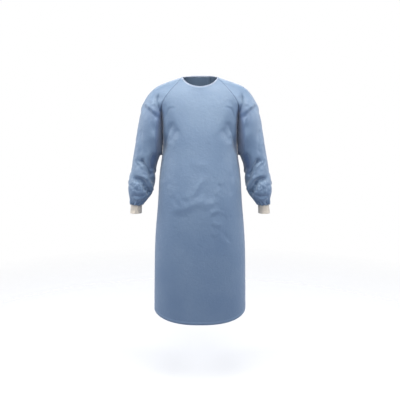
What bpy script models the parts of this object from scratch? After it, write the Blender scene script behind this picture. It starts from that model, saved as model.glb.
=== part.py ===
# Surgical gown in its worn form: a hollow A-line body open down the back, raglan sleeves
# gathered into knit cuffs, a bound neck, a neck tab and waist ties knotted behind.
# Metres, +Z up. The front faces -Y and the wearer's left is +X. The origin is where the
# shoulders hold the gown, in the middle of the neck opening.

import bmesh
import bpy
import numpy as np
from mathutils import Vector
from mathutils.bvhtree import BVHTree

CLOTH = 0.0020          # wall of a cloth panel
GAP = 0.0003            # between two pieces at a seam
LAYER_STEP = 0.0038     # how far the lapping back panel lies outside the one under it

BINDING_HEIGHT = 0.006
BINDING_THICK = 0.0026
LAP_AT_NECK = 0.045     # how far each back panel runs past the centre back
LAP_AT_HEM = 0.110

SEAM_STEPS = 13         # mesh steps down a raglan seam
NECK_STEPS = 4          # mesh steps along a sleeve's stretch of the neckline
SKIRT_STEPS = 13        # mesh steps from underarm to hem
FRONT_COLUMNS = 24
SIDE_COLUMNS = 8        # of a back panel, from the seam to the lap
LAP_COLUMNS = 6
SLEEVE_TOP_ANGLE = 20   # degrees either side of the sleeve's top that the neckline takes

CUFF_WALL = 0.0020
CUFF_RIBS = 22
RIB_HEIGHT = 0.0006
CUFF_CLEARANCE = 0.0001  # of the cuff from its table, for the gathered sleeve end round it

TAB_HEIGHT = 0.024      # of the neck tab
TAB_LEVEL = -0.024
TAB_ON_LAP = 0.050      # its length on the lapping panel
TAB_PAST_EDGE = 0.022

TIE_WIDTH = 0.030
TIE_NECKED = 0.013      # width where a tie enters the knot
STRIP_THICK = 0.0014
STRIP_LIFT = 0.0006     # of ties and tab over the cloth below
TIE_LEVEL = -0.470      # height of the waist ties
TIE_ON_LAP = 0.022      # stretch of the tie sewn on the lapping panel
TIE_SIDE_X = -0.180     # start of the other tie, by the side seam
KNOT_X = -0.140
KNOT_SIZE = (0.030, 0.012, 0.034)
TAIL_LENGTHS = (0.315, 0.275)
TAIL_LIFT = 0.0026      # the tails hang clear of the cloth

# Body sections, from the neckline down. The seam columns place a section's end on the
# raglan seam or, from the underarm down, on the side seam, which both tables share.
UNDERARM_ROW = 7
FRONT_SECTIONS = np.array([
    # centre_y, centre_z, end_x, end_y, end_z, end_angle, square
    (-0.078, -0.047, 0.086, -0.030, -0.006, 75, 2.0),   # neckline
    (-0.090, -0.078, 0.117, -0.070, -0.034, 62, 2.1),
    (-0.102, -0.110, 0.147, -0.096, -0.070, 58, 2.2),
    (-0.113, -0.146, 0.175, -0.106, -0.109, 60, 2.3),   # front of the shoulder
    (-0.122, -0.192, 0.184, -0.098, -0.155, 68, 2.4),
    (-0.132, -0.250, 0.180, -0.068, -0.226, 77, 2.4),   # chest
    (-0.139, -0.315, 0.180, -0.030, -0.306, 85, 2.4),
    (-0.146, -0.383, 0.185, 0.000, -0.380, 90, 2.4),    # underarm
    (-0.156, -0.472, 0.1985, 0.000, -0.464, 90, 2.4),   # waist
    (-0.167, -0.600, 0.2055, 0.000, -0.590, 90, 2.4),   # hip
    (-0.166, -0.805, 0.2225, 0.000, -0.785, 90, 2.4),
    (-0.164, -1.000, 0.2275, 0.000, -0.965, 90, 2.4),   # knee
    (-0.164, -1.185, 0.2305, 0.000, -1.141, 90, 2.4),   # hem
])
BACK_SECTIONS = np.array([
    # centre_y, centre_z, end_x, end_y, end_z, end_angle, square
    (0.060, 0.004, 0.082, 0.034, 0.002, 75, 2.0),
    (0.076, -0.032, 0.112, 0.062, -0.020, 62, 2.1),
    (0.092, -0.072, 0.142, 0.086, -0.056, 58, 2.2),
    (0.106, -0.116, 0.170, 0.100, -0.102, 60, 2.3),     # shoulder blades
    (0.117, -0.166, 0.184, 0.096, -0.158, 68, 2.4),
    (0.123, -0.230, 0.182, 0.070, -0.228, 77, 2.4),
    (0.122, -0.304, 0.181, 0.032, -0.306, 85, 2.4),
    (0.118, -0.378, 0.185, 0.000, -0.380, 90, 2.4),
    (0.111, -0.466, 0.1985, 0.000, -0.464, 90, 2.4),
    (0.128, -0.590, 0.2055, 0.000, -0.590, 90, 2.4),
    (0.143, -0.785, 0.2225, 0.000, -0.785, 90, 2.4),
    (0.155, -0.975, 0.2275, 0.000, -0.965, 90, 2.4),
    (0.166, -1.165, 0.2305, 0.000, -1.141, 90, 2.4),
])

# Sleeve rings below the raglan seam. Outer and inner are the ring's two sides seen from the
# front, front and back its depths from its own middle, and bow bends it towards the shoulder.
SLEEVE_RINGS = np.array([
    # outer_x, outer_z, inner_x, inner_z, front, back, middle_y, bow_x, bow_z
    (0.145, -0.018, 0.1910, -0.3820, 0.114, 0.108, 0.000, 0.034, 0.004),
    (0.195, -0.036, 0.1955, -0.3850, 0.117, 0.109, 0.000, 0.022, 0.004),
    (0.233, -0.062, 0.1995, -0.3890, 0.113, 0.107, 0.000, 0.013, 0.004),   # shoulder point
    (0.262, -0.104, 0.2030, -0.3940, 0.106, 0.102, 0.000, 0.007, 0.003),
    (0.285, -0.155, 0.2065, -0.4000, 0.098, 0.095, 0.000, 0.003, 0.000),
    (0.299, -0.225, 0.2100, -0.4080, 0.090, 0.088, -0.001, 0.000, 0.000),
    (0.3130, -0.306, 0.2135, -0.4210, 0.082, 0.082, -0.003, 0.000, 0.000),
    (0.326, -0.385, 0.2170, -0.4420, 0.074, 0.076, -0.006, 0.000, 0.000),  # elbow
    (0.337, -0.445, 0.2205, -0.4690, 0.070, 0.070, -0.010, 0.000, 0.000),
    (0.350, -0.502, 0.2235, -0.5000, 0.071, 0.068, -0.014, 0.000, 0.000),
    (0.352, -0.532, 0.2300, -0.5330, 0.070, 0.067, -0.017, 0.000, 0.000),  # fullest puff
    (0.3490, -0.562, 0.2405, -0.5630, 0.063, 0.061, -0.019, 0.000, 0.000),
    (0.3450, -0.586, 0.2560, -0.5880, 0.052, 0.051, -0.020, 0.000, 0.000),
    (0.3430, -0.599, 0.2760, -0.6000, 0.042, 0.041, -0.021, 0.000, 0.000),  # droop over cuff
    (0.3420, -0.609, 0.2838, -0.6090, 0.0358, 0.0348, -0.021, 0.000, 0.000),
])
RING_SQUARE = 2.15
SLEEVE_ROWS_AT = np.array([
    0, 0.6, 1.2, 1.8, 2.5, 3.2, 4, 4.8, 5.6, 6.3, 7, 7.5, 8, 8.5, 9, 9.5, 10,
    10.6, 11.2, 11.8, 12.5, 13.2, 14, 15,
])
GATHER_DEPTH = 0.0022
GATHER_FROM, GATHER_FULL = 10.8, 13.4   # ring numbers between which the gathers deepen

# The cuff's two ends, as sleeve rings.
CUFF_TOP = (0.3395, -0.584, 0.2857, -0.584, 0.0340, 0.0330, -0.021, 0, 0)
CUFF_MIDDLE = (0.3400, -0.612, 0.2857, -0.612, 0.0338, 0.0328, -0.022, 0, 0)
CUFF_END = (0.3440, -0.655, 0.2880, -0.655, 0.0348, 0.0338, -0.024, 0, 0)

# Large soft folds of a sleeve: a line through (angle round the sleeve, ring number) points,
# where 0 is the outer side, 90 the front and 180 the underarm. Depth is below the cloth.
SLEEVE_FOLDS = [
    # line, width, depth
    (((15, 4.4), (60, 3.2), (100, 2.3)), 0.014, 0.0060),              # shoulder break
    (((44, 2.1), (58, 1.65), (72, 1.2), (86, 0.8)), 0.012, 0.0090),    # up from the armpit
    (((66, 7.9), (96, 8.4), (133, 9.5), (165, 10.2)), 0.012, 0.0090),  # elbow to inner wrist
    (((52, 9.6), (82, 9.5), (108, 9.9), (122, 10.8), (150, 11.9)), 0.012, 0.0100),
    (((300, 8.2), (262, 8.9), (225, 9.9)), 0.014, 0.0080),             # back of the forearm
    (((330, 9.8), (280, 10.4), (235, 11.4)), 0.013, 0.0070),
    (((345, 5.4), (315, 4.9), (285, 4.5)), 0.018, 0.0050),             # back of the shoulder
]
# Large soft folds of the body, through (x, z) points on the panel.
FRONT_FOLDS = [
    # line, width, depth
    (((0.158, -0.150), (0.152, -0.205), (0.124, -0.262)), 0.020, 0.0060),
    (((-0.158, -0.150), (-0.152, -0.205), (-0.124, -0.262)), 0.020, 0.0060),
    (((0.020, -0.560), (0.075, -0.600), (0.130, -0.690)), 0.018, 0.0040),
    (((0.060, -0.500), (0.020, -0.590)), 0.018, 0.0030),
]
BACK_FOLDS = [
    # line, width, depth
    (((0.140, -0.500), (0.135, -0.700), (0.150, -0.950)), 0.026, 0.0080),
    (((-0.155, -0.500), (-0.150, -0.700), (-0.158, -0.950)), 0.026, 0.0080),
    (((0.135, -0.150), (0.110, -0.230), (0.105, -0.330)), 0.024, 0.0060),
    (((-0.135, -0.150), (-0.115, -0.230), (-0.118, -0.330)), 0.024, 0.0060),
]

GOWN_BLUE = (0.33, 0.44, 0.58, 1)
BINDING_BLUE = (0.55, 0.63, 0.74, 1)
KNIT_WHITE = (0.72, 0.70, 0.66, 1)


# Helpers: curves, sections and folds

def unit(vectors):
    return vectors / np.maximum(np.linalg.norm(vectors, axis=-1, keepdims=True), 1e-12)


def smooth(share):
    share = np.clip(share, 0.0, 1.0)
    return share * share * (3 - 2 * share)


def through(rows, at):
    # The rows of a table joined by a smooth curve, read at positions counted in rows.
    rows = np.asarray(rows, float)
    before = np.concatenate([2 * rows[:1] - rows[1:2], rows, 2 * rows[-1:] - rows[-2:-1]])
    at = np.atleast_1d(np.asarray(at, float))
    first = np.clip(at.astype(int), 0, len(rows) - 2)
    part = (at - first).reshape((-1,) + (1,) * (rows.ndim - 1))
    a, b, c, d = (before[first + k] for k in range(4))
    return 0.5 * (2 * b + (c - a) * part + (2 * a - 5 * b + 4 * c - d) * part ** 2
                  + (3 * b - a - 3 * c + d) * part ** 3)


def even_steps(rows, steps):
    # Positions along a curve through rows, with equal lengths between them.
    fine = np.linspace(0, len(rows) - 1, 40 * len(rows))
    lengths = np.linalg.norm(np.diff(through(rows, fine), axis=0), axis=1)
    along = np.append(0, np.cumsum(lengths))
    return np.interp(np.linspace(0, along[-1], steps + 1), along, fine)


def power(value, square):
    return np.sign(value) * np.abs(value) ** (2 / square)


def body_sections(table):
    # Sections at every mesh row. The seam above the underarm and the side below it are
    # two curves that meet there, and the rest of a section is one smooth table.
    seam = table[:UNDERARM_ROW + 1, 2:5]
    side = table[UNDERARM_ROW:, 2:5]
    upper = even_steps(seam, SEAM_STEPS)
    lower = even_steps(side, SKIRT_STEPS)[1:]
    at = np.concatenate([upper, lower + UNDERARM_ROW])
    sections = through(table, at)
    sections[:, 2:5] = np.concatenate([through(seam, upper), through(side, lower)])
    sections[:, 5] = np.minimum(sections[:, 5], 90)
    return sections


def rise(turn):
    return np.maximum(np.cos(turn), 0) ** 1.25


def section_point(section, angle):
    # A point of a section, angle degrees round from the centre line; the sign is the side.
    centre_y, centre_z, end_x, end_y, end_z, end_angle, square = section
    turn, end = np.radians(angle), np.radians(end_angle)
    flat_end = power(np.cos(end), square) if end_angle < 89.9 else 0.0
    x = end_x * power(np.sin(turn), square) / power(np.sin(end), square)
    y = centre_y + (end_y - centre_y) * (1 - power(np.cos(turn), square)) / (1 - flat_end)
    z = centre_z + (end_z - centre_z) * (1 - rise(turn)) / (1 - rise(end))
    return np.array((x, y, z))


def angle_at(section, x):
    # The angle at which a section reaches x.
    reach = section[2] / power(np.sin(np.radians(section[5])), section[6])
    return np.degrees(np.arcsin(np.clip((abs(x) / reach) ** (section[6] / 2), 0, 1))) * np.sign(x)


def ring_points(ring, angles):
    outer_x, outer_z, inner_x, inner_z, front, back, middle_y, bow_x, bow_z = ring
    along = power(np.cos(np.radians(angles)), RING_SQUARE)
    across = power(np.sin(np.radians(angles)), RING_SQUARE)
    bow = np.abs(np.sin(np.radians(angles)))
    x = (outer_x + inner_x) / 2 + along * (outer_x - inner_x) / 2 + bow * bow_x
    y = middle_y - np.where(across > 0, front, back) * across
    z = (outer_z + inner_z) / 2 + along * (outer_z - inner_z) / 2 + bow * bow_z
    return np.stack([x, y, z], axis=-1)


def line_distance(points, line):
    best = np.full(points.shape[:-1], np.inf)
    for start, end in zip(line[:-1], line[1:]):
        way = end - start
        share = np.clip(((points - start) @ way) / (way @ way), 0, 1)
        best = np.minimum(best, np.linalg.norm(points - start - share[..., None] * way, axis=-1))
    return best


def fold_depth(points, line, width, depth):
    # A soft trough along the line with a low ridge on each side of it.
    away = line_distance(points, np.asarray(line)) / width
    return depth * (0.35 * np.exp(-(away - 1.9) ** 2) - np.exp(-away ** 2))


# Helpers: walls

def grid_normals(points, closed):
    if closed:
        across = np.roll(points, -1, axis=1) - np.roll(points, 1, axis=1)
    else:
        across = np.gradient(points, axis=1)
    return unit(np.cross(across, np.gradient(points, axis=0)))


def outward(points, normals, middle):
    return normals if ((points - middle) * normals).sum() > 0 else -normals


def key_of(point):
    return tuple(np.round(point, 6))


def share_seam_normals(grids):
    # Panels that meet at a seam take one direction there, so that their cut edges lie face to face.
    met = {}
    for points, normals in grids:
        for edge in border_of(points.shape):
            met.setdefault(key_of(points[edge]), []).append(normals[edge].copy())
    for points, normals in grids:
        for edge in border_of(points.shape):
            normals[edge] = bisector(met[key_of(points[edge])])


def bisector(directions):
    # Midway between directions, where near equal ones count as one.
    groups = []
    for direction in directions:
        near = [group for group in groups if unit(group) @ direction > 0.9]
        if near:
            near[0] += direction
        else:
            groups.append(direction.copy())
    return unit(sum(unit(group) for group in groups))


def border_of(shape):
    rows, columns = shape[:2]
    return [(i, j) for i in range(rows) for j in range(columns)
            if i in (0, rows - 1) or j in (0, columns - 1)]


def drawn_in(points, normals, sides, closed=False):
    # The grid with the named sides moved half a gap into the panel.
    moved = points.copy()
    inner = {"top": (0, 1), "bottom": (-1, -2)}
    for side in sides:
        if side in inner:
            edge, next_row = inner[side]
            line, inside = points[edge], points[next_row] - points[edge]
            along = np.roll(line, -1, 0) - np.roll(line, 1, 0) if closed else np.gradient(line, axis=0)
            along = unit(along)
            facing = normals[edge]
        else:
            column, next_column = (0, 1) if side == "first" else (-1, -2)
            line, inside = points[:, column], points[:, next_column] - points[:, column]
            along, facing = unit(np.gradient(line, axis=0)), normals[:, column]
        inside = inside - (inside * along).sum(-1, keepdims=True) * along
        inside = unit(inside - (inside * facing).sum(-1, keepdims=True) * facing) * (GAP / 2 + 0.00003)
        if side in inner:
            moved[edge] += inside
        else:
            moved[:, column] += inside
    return moved


def wall(name, points, normals, thick, material, closed=False, raised=None):
    # A cloth wall on a grid of points. raised adds height to the outer face only.
    if closed:
        points = np.concatenate([points, points[:, :1]], axis=1)
        normals = np.concatenate([normals, normals[:, :1]], axis=1)
        raised = None if raised is None else np.concatenate([raised, raised[:, :1]], axis=1)
    rows, columns = points.shape[:2]
    outer = points + normals * (thick / 2 + (0 if raised is None else raised[..., None]))
    inner = (points - normals * thick / 2).reshape(-1, 3)
    bm = bmesh.new()
    bmesh.ops.create_grid(bm, x_segments=columns - 1, y_segments=rows - 1, size=1)
    place = bm.verts.layers.int.new("place")
    inside = bm.verts.layers.int.new("inside")
    bm.verts.ensure_lookup_table()
    for vert, point in zip(bm.verts, outer.reshape(-1, 3)):
        vert[place] = vert.index
        vert.co = point
    made = bmesh.ops.extrude_face_region(bm, geom=bm.faces[:])
    for vert in made["geom"]:
        if isinstance(vert, bmesh.types.BMVert):
            vert.co = inner[vert[place]]
            vert[inside] = 1
    if closed:
        bmesh.ops.delete(bm, geom=end_faces(bm, columns, place), context="FACES_ONLY")
        bmesh.ops.remove_doubles(bm, verts=bm.verts, dist=1e-6)
    split_rim(bm, inside)
    bmesh.ops.triangulate(bm, faces=bm.faces)
    bmesh.ops.recalc_face_normals(bm, faces=bm.faces)
    return finish(bm, name, material)


def split_rim(bm, inside):
    # Cut edges that face each other across a seam are split the same way.
    for face in [f for f in bm.faces if 0 < sum(v[inside] for v in f.verts) < len(f.verts)]:
        start = max((v for v in face.verts if not v[inside]), key=lambda v: (v.co.z, abs(v.co.x)))
        corners = list(face.verts)
        far = corners[(corners.index(start) + 2) % 4]
        bmesh.utils.face_split(face, start, far)


def end_faces(bm, columns, place):
    # The rim faces at a tube's lengthwise join, which closing the tube leaves inside.
    return [face for face in bm.faces
            if all(v[place] % columns == 0 for v in face.verts)
            or all(v[place] % columns == columns - 1 for v in face.verts)]


def finish(bm, name, material):
    mesh = bpy.data.meshes.new(name)
    bm.to_mesh(mesh)
    bm.free()
    mesh.materials.append(material)
    mesh.shade_smooth()
    mesh.set_sharp_from_angle(angle=np.radians(40))
    obj = bpy.data.objects.new(name, mesh)
    bpy.data.collections["surgical_gown"].objects.link(obj)
    return obj


def cloth_material(name, colour, roughness):
    material = bpy.data.materials.new(name)
    material.use_nodes = True
    shader = material.node_tree.nodes["Principled BSDF"]
    shader.inputs["Base Color"].default_value = colour
    shader.inputs["Roughness"].default_value = roughness
    shader.inputs["Metallic"].default_value = 0
    return material


# The gown's panels as grids of points

def front_grid(sections):
    turns = np.linspace(-1, 1, FRONT_COLUMNS + 1)
    points = np.array([[section_point(s, t * s[5]) for t in turns] for s in sections])
    normals = outward(points, grid_normals(points, False), np.array((0, 0, -0.5)))
    return folded(points, normals, FRONT_FOLDS, seams=("first", "last")), normals


def back_grid(sections, side):
    # side is +1 for the wearer's left panel, which laps over the other. Both panels have
    # their columns at the same places across the lap.
    lap = np.linspace(LAP_AT_NECK, LAP_AT_HEM, len(sections))
    rows = []
    for section, over in zip(sections, lap):
        free = angle_at(section, over)
        turns = np.append(np.linspace(section[5], free, SIDE_COLUMNS + 1)[:-1],
                          np.linspace(free, -free, LAP_COLUMNS + 1))
        rows.append([section_point(section, turn) for turn in turns])
    points = np.array(rows)
    points[..., 0] *= side
    normals = outward(points, grid_normals(points, False), np.array((0, 0, -0.5)))
    points = folded(points, normals, BACK_FOLDS, seams=("first",))
    if side > 0:
        lift = LAYER_STEP * smooth(np.arange(points.shape[1]) / SIDE_COLUMNS)
        points = points + normals * lift[:, None]
    return points, normals


def folded(points, normals, folds, seams):
    depth = np.zeros(points.shape[:2])
    flat = points[..., (0, 2)]
    for line, width, deep in folds:
        depth += fold_depth(flat, line, width, deep)
    columns = np.arange(points.shape[1])
    fade = np.ones(points.shape[1])
    if "first" in seams:
        fade = np.minimum(fade, smooth(columns / 2))
    if "last" in seams:
        fade = np.minimum(fade, smooth((points.shape[1] - 1 - columns) / 2))
    rows = smooth(np.arange(points.shape[0]) / 3)[:, None]
    return points + normals * (depth * fade * rows)[..., None]


def sleeve_angles(seam, number):
    # Angles round ring number. Near the seam they keep the heights of the seam's own
    # points, and they grow even towards the elbow.
    even = np.linspace(SLEEVE_TOP_ANGLE, 180, SEAM_STEPS + 1)
    low, high = seam[:, 2].min(), seam[:, 2].max() + 0.012
    height = 2 * (seam[:, 2] - low) / (high - low) - 1
    level = np.degrees(np.arccos(np.clip(height, -1, 1)))
    front = level + (even - level) * smooth(number / 7)
    top = np.linspace(-front[0], front[0], NECK_STEPS + 1)
    return np.concatenate([top[:-1], front[:-1], (360 - front)[:0:-1]])


def neck_stretch():
    # The sleeve's part of the neckline, from the back seam to the front seam.
    back, front = BACK_SECTIONS[0, 2:5], FRONT_SECTIONS[0, 2:5]
    top = (back + front) / 2 + np.array((0.006, 0, 0.005))
    return through([back, top, front], np.linspace(0, 2, NECK_STEPS + 1))


def sleeve_grid(front_sections, back_sections, side):
    seam_front = front_sections[:SEAM_STEPS + 1, 2:5]
    seam_back = back_sections[:SEAM_STEPS + 1, 2:5]
    loop = np.concatenate([neck_stretch()[:-1], seam_front[:-1], seam_back[:0:-1]])
    rings = [ring_points(ring, sleeve_angles(seam_front, 1 + number))
             for number, ring in enumerate(SLEEVE_RINGS)]
    points = through(np.array([loop] + rings), SLEEVE_ROWS_AT)
    normals = grid_normals(points, True)
    middle = points.mean(axis=1, keepdims=True)
    normals = outward(points, normals, middle)
    depth = np.zeros(points.shape[:2])
    for line, width, deep in SLEEVE_FOLDS:
        path = [ring_points(through(SLEEVE_RINGS, number - 1)[0], angle) for angle, number in line]
        depth += fold_depth(points, path, width, deep)
    depth *= smooth((SLEEVE_ROWS_AT / 1.2))[:, None] * smooth((14.2 - SLEEVE_ROWS_AT) / 1.5)[:, None]
    gathers = np.where(np.arange(points.shape[1]) % 2, -1, 1) * GATHER_DEPTH
    growth = smooth((SLEEVE_ROWS_AT - GATHER_FROM) / (GATHER_FULL - GATHER_FROM))
    lift = GATHER_DEPTH * smooth((SLEEVE_ROWS_AT - 12.8) / 1.2)
    points = points + normals * (depth + gathers * growth[:, None] + lift[:, None])[..., None]
    normals = outward(points, grid_normals(points, True), middle)
    points[..., 0] *= side
    normals[..., 0] *= side
    return points, normals


# The gown's pieces

def make_cuff(name, side, material):
    angles = np.linspace(0, 360, 2 * CUFF_RIBS, endpoint=False)
    rings = through([CUFF_TOP, CUFF_MIDDLE, CUFF_END], [0, 0.7, 1.4, 1.82, 2])
    points = np.array([ring_points(ring, angles) for ring in rings])
    middle = points.mean(axis=1, keepdims=True)
    normals = outward(points, grid_normals(points, True), middle)
    points = points - normals * (CUFF_WALL / 2 + CUFF_CLEARANCE + RIB_HEIGHT)
    ribs = np.where(np.arange(len(angles)) % 2, 1.0, 0.0) * RIB_HEIGHT
    hem = np.array([0, 0, 0, RIB_HEIGHT, RIB_HEIGHT])
    raised = np.maximum(ribs[None, :], hem[:, None])
    points[..., 0] *= side
    normals[..., 0] *= side
    return wall(name, points, normals, CUFF_WALL, material, closed=True, raised=raised)


def neck_edge(front, under, over, right, left):
    # The neckline's points and the points one row below, from the under panel's free
    # edge round the front to the lapping panel's.
    stretch = slice(0, NECK_STEPS)
    back_way = slice(NECK_STEPS, 0, -1)
    rows = []
    for row in (0, 1):
        rows.append(np.concatenate([under[0][row][:0:-1], right[0][row][stretch], front[0][row][:-1],
                                    left[0][row][back_way], over[0][row]]))
    return rows


def make_binding(edge, below, material):
    along = unit(np.gradient(edge, axis=0))
    up = unit(edge - below)
    up = unit(up - (up * along).sum(-1, keepdims=True) * along)
    facing = np.cross(up, along)
    heights = (GAP, GAP + BINDING_HEIGHT / 2, GAP + BINDING_HEIGHT)
    points = np.array([edge + up * height for height in heights])
    normals = outward(points, np.repeat(facing[None], len(heights), axis=0), np.array((0, 0, -0.5)))
    return wall("neck_binding", points, normals, BINDING_THICK, material)


def tree_of(panel):
    mesh = panel.data
    return BVHTree.FromPolygons([v.co for v in mesh.vertices], [p.vertices for p in mesh.polygons])


def laid_strip(name, panels, rows, thick, material):
    # A strip laid on the back of the panels. Each row is a list of (x, z, lift) points
    # across it, lift being above the cloth that shows there.
    points, normals = [], []
    for row in rows:
        hits = []
        for x, z, lift in row:
            found = [panel.ray_cast(Vector((x, 0.5, z)), Vector((0, -1, 0))) for panel in panels]
            place, normal = max((f[:2] for f in found if f[0]), key=lambda f: f[0].y)
            hits.append((np.array(place), np.array(normal), lift))
        facing = unit(sum(hit[1] for hit in hits))
        points.append([place + facing * (lift + thick / 2) for place, _, lift in hits])
        normals.append([facing] * len(hits))
    return wall(name, np.array(points), np.array(normals), thick, material)


def across(x, z, width, lift, down=False):
    # Three points across a strip that runs sideways, or down.
    shares = (-0.5, 0.0, 0.5)
    if down:
        return [(x + share * width, z, lift) for share in shares]
    return [(x, z + share * width, lift) for share in shares]


def step_down(edge, past, lift_after):
    # (x, lift) stations from the lapping panel's cloth over its free edge to the one below.
    return [(edge + 0.0025, STRIP_LIFT), (edge - 0.0015, LAYER_STEP + STRIP_LIFT),
            (edge - 0.006, 0.6 * LAYER_STEP + STRIP_LIFT), (edge - 0.012, STRIP_LIFT), (past, lift_after)]


def edge_at(over, z):
    return np.interp(-z, -over[0][:, -1, 2], over[0][:, -1, 0])


def make_neck_tab(over, trees, material):
    edge = edge_at(over, TAB_LEVEL)
    stations = [(edge + TAB_ON_LAP * share, STRIP_LIFT) for share in (1, 0.7, 0.4)]
    stations += step_down(edge, edge - TAB_PAST_EDGE, 1.6 * STRIP_LIFT)
    rows = [across(x, TAB_LEVEL, TAB_HEIGHT, lift) for x, lift in stations]
    laid_strip("neck_tab", trees, rows, STRIP_THICK, material)


def make_ties(over, trees, material):
    edge = edge_at(over, TIE_LEVEL)
    reach = KNOT_SIZE[0] / 2
    into = KNOT_SIZE[1] / 2 - STRIP_THICK / 2
    stations = [(edge + TIE_ON_LAP, STRIP_LIFT), (edge + TIE_ON_LAP / 2, STRIP_LIFT)]
    stations += step_down(edge, KNOT_X + reach + 0.014, STRIP_LIFT)
    rows = [across(x, TIE_LEVEL, TIE_WIDTH, lift) for x, lift in stations]
    rows.append(across(KNOT_X + reach, TIE_LEVEL, TIE_NECKED, into))
    laid_strip("waist_tie_left", trees, rows, STRIP_THICK, material)

    rows = [across(x, TIE_LEVEL, TIE_WIDTH, STRIP_LIFT)
            for x in np.linspace(TIE_SIDE_X, KNOT_X - reach - 0.012, 4)]
    rows.append(across(KNOT_X - reach, TIE_LEVEL, TIE_NECKED, into))
    laid_strip("waist_tie_right", trees, rows, STRIP_THICK, material)

    # tuck lifts a tail's top edge until it all but touches the tilted knot
    for name, side, length, swing, tuck in (("tie_tail_long", 1, TAIL_LENGTHS[0], 0.011, 0.0003),
                                            ("tie_tail_short", -1, TAIL_LENGTHS[1], 0.017, 0.0009)):
        top = TIE_LEVEL - KNOT_SIZE[2] / 2 + tuck
        rows = []
        for share in np.linspace(0, 1, 12):
            width = TIE_NECKED + (TIE_WIDTH - TIE_NECKED) * smooth(share * 5)
            x = KNOT_X + side * (TIE_NECKED / 2 + GAP + swing * smooth(share * 4))
            lift = TAIL_LIFT + (into - TAIL_LIFT) * smooth(1 - share * 8)
            rows.append(across(x, top - length * share, width, lift, down=True))
        laid_strip(name, trees, rows, STRIP_THICK, material)


def make_knot(trees, material):
    hits = [tree.ray_cast(Vector((KNOT_X, 0.5, TIE_LEVEL)), Vector((0, -1, 0))) for tree in trees]
    place, facing = max((hit[:2] for hit in hits if hit[0]), key=lambda hit: hit[0].y)
    facing = np.array(facing)
    place = np.array(place) + facing * (KNOT_SIZE[1] / 2 + STRIP_LIFT)
    side = unit(np.cross((0, 0, 1), facing))
    up = np.cross(facing, side)
    bm = bmesh.new()
    bmesh.ops.create_uvsphere(bm, u_segments=14, v_segments=8, radius=0.5)
    for vert in bm.verts:
        x, y, z = vert.co
        pinch = 1 - 0.15 * np.cos(2 * np.pi * z)
        vert.co = (place + side * x * KNOT_SIZE[0] * pinch + facing * y * KNOT_SIZE[1]
                   + up * z * KNOT_SIZE[2])
    bmesh.ops.triangulate(bm, faces=bm.faces)
    bmesh.ops.recalc_face_normals(bm, faces=bm.faces)
    finish(bm, "waist_knot", material)


def main():
    for obj in list(bpy.data.objects):
        bpy.data.objects.remove(obj)
    gown = bpy.data.collections.new("surgical_gown")
    bpy.context.scene.collection.children.link(gown)
    blue = cloth_material("gown_cloth", GOWN_BLUE, 0.75)
    pale = cloth_material("binding_cloth", BINDING_BLUE, 0.75)
    knit = cloth_material("cuff_knit", KNIT_WHITE, 0.9)

    front_sections = body_sections(FRONT_SECTIONS)
    back_sections = body_sections(BACK_SECTIONS)
    front = front_grid(front_sections)
    under = back_grid(back_sections, -1)
    over = back_grid(back_sections, 1)
    right = sleeve_grid(front_sections, back_sections, -1)
    left = sleeve_grid(front_sections, back_sections, 1)
    share_seam_normals([front, under, over, right, left])

    wall("front_panel", drawn_in(*front, ("first", "last")), front[1], CLOTH, blue)
    lower = wall("back_panel_right", drawn_in(*under, ("first",)), under[1], CLOTH, blue)
    upper = wall("back_panel_left", drawn_in(*over, ("first",)), over[1], CLOTH, blue)
    wall("sleeve_right", drawn_in(*right, ("top",), closed=True), right[1], CLOTH, blue, closed=True)
    wall("sleeve_left", drawn_in(*left, ("top",), closed=True), left[1], CLOTH, blue, closed=True)
    make_binding(*neck_edge(front, under, over, right, left), pale)
    make_cuff("cuff_right", -1, knit)
    make_cuff("cuff_left", 1, knit)
    trees = [tree_of(lower), tree_of(upper)]
    make_neck_tab(over, trees, pale)
    make_ties(over, trees, blue)
    make_knot(trees, blue)


main()
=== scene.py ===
import math

import bmesh
import bpy
import numpy as np
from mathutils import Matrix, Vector, kdtree, noise


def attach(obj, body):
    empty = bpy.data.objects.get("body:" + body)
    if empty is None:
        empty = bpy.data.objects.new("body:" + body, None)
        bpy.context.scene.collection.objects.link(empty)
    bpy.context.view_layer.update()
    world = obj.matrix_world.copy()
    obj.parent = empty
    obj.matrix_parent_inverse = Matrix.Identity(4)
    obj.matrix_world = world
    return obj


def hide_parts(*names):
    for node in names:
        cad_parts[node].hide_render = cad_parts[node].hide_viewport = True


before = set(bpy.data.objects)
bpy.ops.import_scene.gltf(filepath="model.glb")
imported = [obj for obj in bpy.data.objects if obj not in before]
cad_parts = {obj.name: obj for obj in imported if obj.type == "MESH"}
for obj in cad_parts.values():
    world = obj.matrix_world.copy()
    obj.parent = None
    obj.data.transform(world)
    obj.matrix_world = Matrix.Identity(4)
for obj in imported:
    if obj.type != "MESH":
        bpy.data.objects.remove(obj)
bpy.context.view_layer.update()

scene = bpy.context.scene
scene.view_settings.view_transform = "Standard"


# Camera, light and floor

print("camera, light and floor")

viewSettings = {
    "cameraSpot": (0, -3.2, -0.10),
    "cameraPitch": 8.8,         # degrees downwards
    "lens": 58.8,
    "floorLevel": -1.5,         # where the wearer's soles would be
    "floorRadius": 3.0,
    "ambient": 0.24,
}

warmWhite, white = (1, 0.96, 0.88), (1, 1, 1)

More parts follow.
